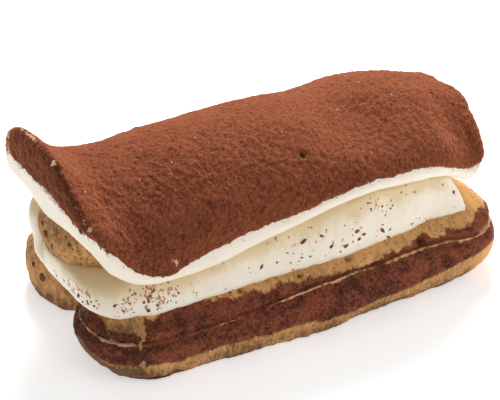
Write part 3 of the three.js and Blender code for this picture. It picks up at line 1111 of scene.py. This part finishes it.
@dataclass
class CocoaCoat(Seeded):
    """The cocoa on the blanket: a shell that thins out and sinks into the cream along a ragged line."""

    blanket: Blanket
    thick: float = 1.0
    edge: float = 0.3
    inner_depth: float = 0.45
    stations: int = 290
    ends: tuple[int, int] = (48, 24)
    columns: int = 215
    inner_columns: int = 20
    low: float = -0.5
    seed: int = 500
    ripple_turn: float = 0.55
    grain_turn: float = -0.51
    torn: Line = Line(0.22, steps=((1.0, -50, -54),))
    pits: tuple[Triple, ...] = ((2.7, -16.1, 0.9), (-23.9, -19.5, 0.6))
    rubs: tuple[Patch, ...] = patches(
        (-45.2, -26.3, 30.0, 1.3, 0.7),
        (-36.2, -26.6, 28.6, 1.5, 0.7),
        (-32.6, -26.5, 29.2, 1.2, 0.65),
        (-54.9, -20.3, 39.8, 1.0, 0.6),
        (-54.5, -22.4, 38.6, 0.9, 0.6),
        (-55.6, -4.1, 48.6, 1.0, 0.55),
    )

    def sheet(self, columns: int) -> tuple[Points, Points]:
        """The blanket's upper side and its outward normals, which run flat into the two ends.

        Args:
            columns: How many points a row has.

        Returns:
            The points and the normals.
        """
        place = self.blanket.net(self.stations, self.ends, *self.blanket.section(columns, self.low))
        normal = unit(np.cross(np.gradient(place, axis=1), np.gradient(place, axis=0)))
        normal[0], normal[-1] = RIGHTWARDS
        return place, normal

    def inside(self, place: Points) -> Field:
        """How far a point is above the cocoa's torn lower line, less than 0 below it."""
        torn = self.torn.at(place[..., 0]) * self.noise(1, place, 0.9, 3)
        return self.blanket.over_line(place) + torn

    def hollows(self, place: Points, reach: float) -> Field:
        """The depth of the pits: each one's own times a bell of the level distance from its middle."""
        away = [(np.hypot(place[..., 0] - x, place[..., 1] - y), depth) for x, y, depth in self.pits]
        return sum(depth * bump(distance, 0.0, reach) for distance, depth in away)

    def relief(self, place: Points) -> Field:
        """The powder's relief: lumps, ripples at the left, upright grains elsewhere, and a few pits.

        The ripples and the grains are noise on coordinates turned about +Z, with lumps long across the
        portion and short along it.

        Args:
            place: Points on the blanket.

        Returns:
            How far each point is moved outwards, in millimetres.
        """
        slanted, upright = turned(place, self.ripple_turn), turned(place, self.grain_turn)
        right = ramp(place[..., 0], -36, 4)
        ripples = 0.22 * self.noise(11, slanted, (1.1, 1.9, 1.3))
        grains = 0.18 * self.noise(13, upright, (0.85, 1.55, 1.0))
        lumps = 0.22 * self.noise(0, place, 5.0, 1)
        height = lumps + mix(ripples, grains, right) / np.hypot(right, 1 - right)
        return height + 0.1 * self.noise(21, upright, (0.6, 1.1, 0.7), 1) - self.hollows(place, 0.75)

    def surface(self) -> Surface:
        """Closes the shell: an outer sheet of powder and, back along each row, one inside the cream.

        Returns:
            The shell.
        """
        place, normal = self.sheet(self.columns)
        inside = self.inside(place)
        rise = mix(-self.edge, self.edge, ramp(inside, -0.5, 0.3))
        rise = rise + (self.thick - self.edge) * ramp(inside, 0.3, 4)
        rise = rise + self.relief(place) * ramp(inside, -0.2, 1.6)
        rise[0], rise[-1] = rise[0].mean(), rise[-1].mean()
        inner, inward = self.sheet(self.inner_columns)
        inner = (inner - self.inner_depth * inward)[:, ::-1]
        return Surface(np.concatenate([place + normal * rise[..., None], inner], axis=1), RIGHTWARDS)

    def painted_lighting(self, place: Points) -> Field:
        """Painted light and shade: lighter behind, on the fold and at the right; darker at the front left
        and, mottled, on the left end.

        Args:
            place: Points of the shell.

        Returns:
            The mark of painted light and shade.
        """
        x, y, _ = np.moveaxis(place, -1, 0)
        # Painted light where the powder faces the key light, painted shade where it faces away.
        fold = 0.6 * bump(x, -49.5, 4.5) * ramp(y, -26, -14)
        behind = 0.62 * ramp(y, -6, 12) * (1 - 0.7 * bump(x, -41, 8))
        painted_light = np.maximum(behind, fold) + 0.35 * ramp(x, 25, 45) - 0.7 * bump(x, -41, 6) * ramp(-y, -14, -4)
        return mix(painted_light, 1.3 * self.noise(70, place, 2.6) - 2.7, ramp(-x, 53.8, 55.2))

    def wear_and_shade(self, place: Points) -> Field:
        """Where the powder is rubbed off, on the left end's rim and tip and in a few rubs, and painted
        shade in the pits.

        Args:
            place: Points of the shell.

        Returns:
            The mark of wear and of painted shade in the pits.
        """
        x, y, z = np.moveaxis(place, -1, 0)
        tip = 0.62 * ramp(y, 12, 21) * ramp(-x, 53, 55)
        share = 0.31 + 0.3 * ramp(y, 2, 10) + 0.2 * bump(y, -21, 3)
        wear_and_pit_shade = np.maximum(share * bump(x, -54.9, 0.8) * ramp(z, 37, 41), tip)
        # Painted shade: the mark falls below 0 in the pits.
        return wear_and_pit_shade + sum(rub.at(place) for rub in self.rubs) - 1.6 * self.hollows(place, 0.7)

    def build(self, material: Material) -> None:
        """Makes the shell in the place of its node.

        Args:
            material: The cocoa.
        """
        surface = self.surface()
        marks = {"painted_light": self.painted_lighting(surface.place), "wear_and_pit_shade": self.wear_and_shade(surface.place)}
        new_piece("cocoa_coat", surface, marks, material, Slot.COCOA, "cocoa_dusting")


@dataclass
class CreamBed(Seeded):
    """The lower layer of cream: a cushion with rounded corners that the fingers sink into."""

    drape: Drape
    bottom: float = 14.2
    front: float = -26.0
    back: float = 26.5
    left: float = -55.2
    right: float = 44.0
    lean: float = 1.6
    corner_left: float = 0.11
    corner_right: float = 0.03
    steps: tuple[int, int, int] = (300, 110, 160)
    rows: int = 90
    side_power: float = 14.0
    wall_power: float = 6.0
    front_swell: Line = Line(0.0, bells=((1.1, 7, 12), (-1.3, 35, 6), (0.7, -42, 6)))
    seed: int = 700
    specked: tuple[Patch, ...] = patches(
        (-42.0, -25.5, 21.4, 2.4, 1.6), (-36.5, -25.5, 20.4, 2.8, 1.2), (-48.5, -25.0, 20.0, 2.4, 0.9),
        (-31.2, -25.5, 19.6, 1.8, 0.9), (-39.0, -25.5, 17.4, 2.2, 0.6), (-46.5, -25.5, 23.2, 1.6, 0.5),
        (-25.6, -25.5, 20.7, 2.2, 0.4), (-16.0, -25.5, 19.3, 1.6, 0.3), (-4.6, -25.5, 21.0, 2.6, 0.5),
        (3.4, -25.5, 25.0, 2.2, 0.25), (10.6, -25.5, 21.4, 3.2, 0.4), (19.0, -25.5, 21.6, 3.4, 0.35),
        (16.6, -25.0, 27.4, 1.4, 0.8), (30.0, -25.5, 20.4, 3.2, 0.2), (38.0, -25.0, 19.8, 2.6, 0.6),
        (-55.0, -10.2, 18.8, 2.6, 1.5), (-54.7, -14.2, 20.2, 1.8, 0.9), (-53.9, -17.6, 20.0, 1.8, 1.2),
        (-48.2, -23.6, 18.6, 1.8, 0.9), (-55.2, -1.7, 18.6, 1.8, 1.1), (-55.2, 2.4, 19.0, 1.6, 0.9),
    )

    def outline(self) -> tuple[Field, Field]:
        """Points in order round a square that reaches from -1 to 1, along its front, right, back and left.

        Returns:
            The place along the portion and the place across it, of each point.
        """
        front, end, back = (-1 + 2 * np.arange(count) / count for count in self.steps)
        a = [front, np.ones(len(end)), -back, -np.ones(len(end))]
        b = [-np.ones(len(front)), end, np.ones(len(back)), -end]
        return np.concatenate(a), np.concatenate(b)

    def top_height(self, x: Field, v: Field) -> Field:
        """The top, which the blanket covers everywhere but at the left end."""
        return np.minimum(self.drape.under_height(x, v) + 1.5, 23.8 + 8 * ramp(x, -48, -40))

    def surface(self) -> tuple[Surface, Field]:
        """The cushion: rings from the middle of the underside, up the sides and in to the top's middle.

        The width share and the height follow share^14 + |2 height - 1|^6 = 1, and the corners are drawn in
        by the sixth power of the place along the other side.

        Returns:
            The surface, and the height share of each of its points.
        """
        a, b = (o[None, :] for o in self.outline())
        turn = np.linspace(-np.pi / 2, np.pi / 2, self.rows)[:, None]
        share = np.abs(np.cos(turn)) ** (2 / self.side_power)
        share[[0, -1]] = 0.0
        high = (1 + np.sign(turn) * np.abs(np.sin(turn)) ** (2 / self.wall_power)) / 2
        corner = mix(self.corner_left, self.corner_right, ramp(a, -0.5, 0.5))
        u, v = a * (1 - corner * b**6) * share, b * (1 - corner * a**6) * share
        bulge = np.where(a > 0, 1.2 * bump(high, 0.35, 0.3) - 1.2 * ramp(high, 0.4, 1), 0.0)
        notch = 9 * ramp(v, 0.25, 0.6) * ramp(-u, 0.5, 1)
        x = mix(self.left, self.right, (u + 1) / 2) + bulge * np.abs(u) + notch
        lean = self.lean * ramp(high, 0.2, 1) * v + ramp(-v, 0.6, 1) * self.front_swell.at(x)
        y = mix(self.front, self.back, (v + 1) / 2) - lean
        z = mix(self.bottom, self.top_height(x, v), high)
        return Surface(np.stack([x, y, z], axis=-1), UPWARDS), np.broadcast_to(high, x.shape)

    def build(self, material: Material) -> None:
        """Makes the cushion, with soft trowel marks on its sides.

        Args:
            material: The cream.
        """
        smooth, high = self.surface()
        place = smooth.place
        x = place[..., 0]
        trowelled = 0.2 * self.noise(0, place, (11.0, 8.0, 3.0)) + 0.12 * self.noise(4, place, 2.4)
        side = ramp(high, 0.02, 0.12) * (1 - ramp(high, 0.9, 0.99))
        uneven = 0.12 * self.noise(8, place, (4.0, 4.0, 9.0))
        # Painted shade: beige towards the top under the blanket, deepest under the hem near the middle,
        # fading at the right end.
        painted_shade = ramp(high + uneven, 0.42, 0.96) + 0.8 * ramp(high, 0.8, 0.95) * bump(x, 24, 22)
        painted_shade = painted_shade * (1 - 0.85 * ramp(x + 4 * uneven, 35, 42))
        marks = cream_marks(painted_shade, stains=np.minimum(1.0, sum(patch.at(place) for patch in self.specked)))
        new_piece("cream_bed", smooth.raised(trowelled * side), marks, material, Slot.CREAM, "cream_lower")


@dataclass
class CreamRibbon(Seeded):
    """A ribbon of cream that runs up from the lower cream past the upper ladyfinger's left end."""

    rows: int = 70
    columns: int = 40
    foot: float = 17.0
    top: float = 34.0
    seed: int = 800

    def surface(self) -> Surface:
        """Carries an ellipse of half-sizes 1.7 to 2.6 by 1.6 mm up a leaning arc, closed at both ends.

        Returns:
            The smooth ribbon.
        """
        along = np.linspace(0, 1, self.rows)[:, None]
        s = mix(0.01, 0.99, along)
        size = np.minimum(1.0, np.sqrt(np.maximum(0.0, 1 - (2 * along - 1) ** 10)))
        size[[0, -1]] = 0.0
        turn = 2 * np.pi * np.arange(self.columns)[None, :] / self.columns
        v, w = np.cos(turn) * size, np.sin(turn) * size
        y = mix(4.0, 11.5, np.sqrt(s)) - 0.7 * s + (1.7 + 0.9 * s) * v
        x = -53.6 - 1.6 * w - 1.2 * np.sin(np.pi * s) + 0.06 * np.maximum(0, y - 4) ** 1.5
        x = x + 2.4 * ramp(s, 0.66, 0.98)
        z = mix(self.foot, self.top, s) + 0 * v
        return Surface(np.stack([x, y, z], axis=-1), UPWARDS)

    def build(self, material: Material) -> None:
        """Makes the ribbon, a little uneven along its length and wider at its top and its foot.

        Args:
            material: The cream.
        """
        smooth = self.surface()
        z = smooth.place[..., 2]
        swell = 0.25 * self.noise(0, smooth.place, 4.0)
        swell += 0.6 * ramp(z, 20, 25) + 0.9 * ramp(-z, -22.5, -18.0)
        # Painted shade: beige towards the ribbon's top, under the blanket.
        marks = cream_marks(0.1 + 0.75 * ramp(z, 26.5, 29.5))
        new_piece("cream_ribbon", smooth.raised(swell), marks, material, Slot.CREAM, "cream_lower")


# ---------------------------------------------------------------- specks


@dataclass
class Scatter:
    """Small crumbs strewn over a surface, each a flattened and jittered icosahedron of 20 faces."""

    name: str
    count: int
    size: tuple[float, float]
    seed: int
    flat: float = 0.5
    sunk: float = 0.2
    jitter: float = 0.3
    stretch: float = 0.9

    def crumb(self) -> tuple[Points, Faces]:
        """Three golden rectangles and their hull: a face joins each three corners that are an edge apart.

        Returns:
            The corners and the faces of an icosahedron of radius 1.
        """
        golden = (1 + 5**0.5) / 2
        corners = []
        for a in (-1.0, 1.0):
            for b in (-golden, golden):
                corners += [(0.0, a, b), (a, b, 0.0), (b, 0.0, a)]
        place = np.array(corners) / np.hypot(1.0, golden)
        away = np.linalg.norm(place[:, None] - place[None], axis=-1)
        edge = np.min(away[away > 0]) * 1.01
        faces = []
        for i, j, k in combinations(range(len(place)), 3):
            if max(away[i, j], away[j, k], away[i, k]) < edge:
                outward = np.dot(np.cross(place[j] - place[i], place[k] - place[i]), place[i]) > 0
                faces.append((i, j, k) if outward else (i, k, j))
        return place, np.array(faces)

    def strew(self, surface: Surface, weight: Field) -> tuple[Points, Points]:
        """Draws places on a surface, in proportion to the area and weight of its faces.

        Args:
            surface: What the crumbs lie on.
            weight: How thickly they lie at each of its points.

        Returns:
            The places and the outward normals there.
        """
        draw = np.random.default_rng(self.seed)
        place, normal = surface.place.reshape(-1, 3), surface.normals().reshape(-1, 3)
        faces = surface.faces()
        a, b, c, d = (place[faces[:, i]] for i in range(4))
        area = np.linalg.norm(np.cross(c - a, d - b), axis=-1) / 2
        chance = area * weight.ravel()[faces].mean(axis=1)
        drawn = draw.choice(len(faces), self.count, p=chance / chance.sum())
        u, t = draw.random((2, self.count, 1))
        spot = mix(mix(a[drawn], b[drawn], u), mix(d[drawn], c[drawn], u), t)
        return spot, normal[faces[drawn, 0]]

    def build(self, surface: Surface, weight: Field, material: Material, slot: Slot) -> None:
        """Puts a crumb at each place: turned about the normal, flattened along it and sunk in a little.

        Args:
            surface: What the crumbs lie on.
            weight: How thickly they lie at each of its points.
            material: The crumbs' material.
            slot: The record's slot.
        """
        spot, normal = self.strew(surface, weight)
        draw = np.random.default_rng(self.seed + 1)
        ball, faces = self.crumb()
        radius = mix(*self.size, draw.random((self.count, 1, 1)) ** 2) / 2
        turn = 2 * np.pi * draw.random((self.count, 1))
        helper = np.where(np.abs(normal[:, 2:]) > 0.9, (1.0, 0.0, 0.0), (0.0, 0.0, 1.0))
        side = unit(np.cross(normal, helper))
        first = np.cos(turn) * side + np.sin(turn) * np.cross(normal, side)
        second = np.cross(normal, first)
        uneven = 1 + self.jitter * (draw.random((self.count, len(ball), 1)) - 0.5)
        long = 1 + self.stretch * draw.random((self.count, 1, 1))
        x, y, z = np.moveaxis(ball[None] * uneven * radius, -1, 0)[..., None]
        place = spot[:, None] + x * long * first[:, None] + y * second[:, None]
        place = place + (self.flat * z - self.sunk * radius) * normal[:, None]
        corners = faces[None] + len(ball) * np.arange(self.count)[:, None, None]
        settle(new_mesh(self.name, place, corners.reshape(-1, 3), {}), material, slot)


# ---------------------------------------------------------------- studio


@dataclass(frozen=True)
class Viewpoint:
    """The camera: it looks at a point from an elevation, turned left about +Z, through a long lens."""

    elevation: float = 32.0
    turn: float = 29.335
    distance: float = 600.0
    focal_pixels: float = 2432.4
    picture_width: float = 500.0
    aim_right: float = -1.886
    aim_up: float = 16.809
    sensor: float = 36.0
    nearest: float = 10.0

    def build(self) -> None:
        """Makes the scene's camera from its right, up and forward directions."""
        tilt, turn = np.radians(self.elevation), np.radians(self.turn)
        right = np.array([np.cos(turn), -np.sin(turn), 0.0])
        level = np.array([np.sin(turn), np.cos(turn), 0.0])
        forward = np.cos(tilt) * level - np.sin(tilt) * np.array([0.0, 0.0, 1.0])
        up = np.cross(right, forward)
        aim = self.aim_right * right + self.aim_up * up + ORIGIN
        data = bpy.data.cameras.new("camera")
        data.sensor_fit = "HORIZONTAL"
        data.sensor_width = self.sensor
        data.lens = self.focal_pixels * self.sensor / self.picture_width
        data.clip_start = self.nearest * MM
        camera = bpy.data.objects.new("camera", data)
        facing = Matrix([[*row] for row in np.stack([right, up, -forward], axis=1)])
        place = Vector((aim - self.distance * forward) * MM)
        camera.matrix_world = Matrix.Translation(place) @ facing.to_4x4()
        bpy.context.scene.collection.objects.link(camera)
        bpy.context.scene.camera = camera


@dataclass(frozen=True)
class Softbox:
    """A square area light that faces the point at a height above the origin."""

    name: str
    place: Triple
    side: float
    power: float
    colour: Triple
    aim: float = 20.0

    def build(self) -> None:
        """Makes the light and turns it."""
        data = bpy.data.lights.new(self.name, "AREA")
        data.size = self.side * MM
        data.energy = self.power
        data.color = self.colour
        lamp = bpy.data.objects.new(self.name, data)
        lamp.location = Vector(self.place) * MM
        away = lamp.location - Vector((0.0, 0.0, self.aim * MM))
        lamp.rotation_euler = away.to_track_quat("Z", "Y").to_euler()
        bpy.context.scene.collection.objects.link(lamp)


@dataclass(frozen=True)
class Studio:
    """A white tent: an even pale surrounding, a key light from above right and a weak fill in front."""

    boxes: tuple[Softbox, ...] = (
        Softbox("key_light", (250.0, 430.0, 440.0), 260.0, 5.25, (1.0, 0.985, 0.96)),
        Softbox("fill_light", (420.0, -480.0, 260.0), 420.0, 1.0, (1.0, 0.99, 0.97)),
    )
    surround: float = 0.385

    def build(self) -> None:
        """Makes the surrounding light and the soft boxes."""
        world = bpy.data.worlds.new("studio")
        world.use_nodes = True
        background = world.node_tree.nodes["Background"]
        background.inputs["Color"].default_value = (1.0, 1.0, 1.0, 1.0)
        background.inputs["Strength"].default_value = self.surround
        bpy.context.scene.world = world
        bpy.context.scene.view_settings.view_transform = "Standard"
        for box in self.boxes:
            box.build()


# ---------------------------------------------------------------- the portion


@dataclass
class Tiramisu:
    """The whole portion: three ladyfingers, the cream between and over them, and the cocoa."""

    drape: Drape = field(default_factory=Drape)
    cocoa: CocoaPowder = field(default_factory=CocoaPowder)
    cream: Cream = field(default_factory=Cream)
    sponge: Sponge = field(default_factory=Sponge)

    def ladyfingers(self) -> list[Ladyfinger]:
        """Sets out the three ladyfingers, each with its own bands of cocoa, patches and pits.

        Returns:
            The front one, the back one and the upper one.
        """
        front = Ladyfinger(
            "ladyfinger_front_piece",
            "ladyfinger_front",
            length=110.8,
            middle=(0.0, -15.4),
            ground=0.0,
            tuck=0.19,
            seed=10,
            patches=patches(
                (-54.6, -15.5, 12.6, 2.4, 3.4), (-53.0, -19.2, 12.0, 2.2, 3.0),
                (-55.3, -15.0, 6.6, 3.6, -2.2), (-43.4, -29.0, 0.4, 2.2, 4.4),
                (-38.8, -29.5, 0.4, 2.3, 4.6), (47.0, -25.0, 14.6, 2.6, 2.4),
                (53.0, -18.0, 13.4, 3.0, 3.0), (29.5, -28.0, 14.8, 1.4, 2.6),
            ),
            pits=patches(
                (28.6, -28.5, 14.7, 0.9, 1.2), (9.0, -27.5, 15.6, 1.0, 1.0),
                (-19.5, -26.1, 15.4, 0.8, 0.9), (-4.1, -27.3, 15.2, 0.7, 0.9),
            ),
            undercut=0.17,
            end_rise=0.12,
            crease_fall=0.17,
            crack=-45.9,
            glow=0.5,
        )
        back = Ladyfinger(
            "ladyfinger_back_piece",
            "ladyfinger_back",
            length=110.8,
            middle=(2.0, 15.6),
            ground=0.0,
            tuck=0.0,
            seed=110,
            patches=patches(
                (-54.0, 15.0, 8.0, 12.0, -7.5), (-53.3, 15.6, 9.6, 1.6, 6.8), (-53.0, 11.6, 7.6, 1.5, 6.4)
            ),
        )
        upper = Ladyfinger(
            "ladyfinger_upper_piece",
            "ladyfinger_upper",
            length=104.0,
            middle=(-4.0, 0.5),
            ground=19.4,
            tuck=0.1,
            seed=210,
            cocoa_low=Line(40.0),
            patches=patches(
                (-55.8, 1.4, 27.0, 1.4, 4.6), (-55.8, -1.9, 25.2, 1.2, 4.4), (-55.5, 3.6, 28.6, 1.0, 4.2)
            ),
            pits=patches(
                (-54.0, -6.0, 29.6, 0.5, 0.8), (-53.9, -7.6, 28.4, 0.6, 0.8), (-54.6, -4.6, 28.2, 0.4, 0.7)
            ),
            crumb=0.45,
            tone_and_shading=0.1,
            end_fullness=0.05,
        )
        return [front, back, upper]

    def build(self) -> None:
        """Builds every piece, from the ground up."""
        sponge, cream = self.sponge.material(), self.cream.material(self.cocoa)
        for finger in self.ladyfingers():
            finger.build(sponge)
        bed, ribbon, blanket = CreamBed(self.drape), CreamRibbon(), Blanket(self.drape)
        for layer in (bed, ribbon, blanket):
            layer.build(cream)
        coat = CocoaCoat(blanket)
        coat.build(self.cocoa.material())
        self.strew(bed, blanket, coat)

    def strew(self, bed: CreamBed, blanket: Blanket, coat: CocoaCoat) -> None:
        """Strews the loose crumbs: cocoa on the cream, and flecks of cream on the cocoa.

        Args:
            bed: The lower cream.
            blanket: The cream on top.
            coat: The cocoa on it.
        """
        crumbs = Speck("cocoa_crumb", rgb("9a5c36"), rgb("553019")).material()
        dust = Speck("cocoa_dust", rgb("c47f50"), rgb("9a5330")).material()
        flecks = Speck("cream_fleck", rgb("ecd0b8"), rgb("c99674")).material()
        lower, high = bed.surface()
        shown = ramp(high, 0.05, 0.2) * ramp(high, 0.98, 0.9)
        specked = sum(patch.at(lower.place) for patch in bed.specked) * shown
        coarse = Scatter("cocoa_specks_lower", 135, (0.45, 1.2), 21)
        coarse.build(lower, specked + 0.03 * shown, crumbs, Slot.COCOA)
        fine = Scatter("cocoa_dust_lower", 460, (0.25, 0.7), 23)
        fine.build(lower, specked + 0.05 * shown, dust, Slot.COCOA)
        upper = blanket.surface()
        x, y, z = np.moveaxis(upper.place, -1, 0)
        below = blanket.drape.cocoa_line(x, y) - z
        fringe = bump(below, 0.1, 0.5) * (0.5 + 4.5 * ramp(-x, 52, 54))
        Scatter("cocoa_grains_fringe", 760, (0.15, 0.4), 31).build(upper, fringe, dust, Slot.COCOA)
        top = coat.surface()
        outer = np.arange(top.place.shape[1]) < coat.columns
        on_top = outer * ramp(top.place[..., 2], 36, 40)
        Scatter("cream_flecks_top", 46, (0.2, 0.6), 41).build(top, on_top, flecks, Slot.CREAM)


def main() -> None:
    """Loads the frame, builds the camera, the studio and the portion."""
    logging.basicConfig(level=logging.INFO, format="%(name)s: %(message)s")
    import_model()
    for scenery in (Viewpoint(), Studio(), Table(), Tiramisu()):
        scenery.build()
    bpy.context.view_layer.update()


if __name__ == "__main__":
    main()
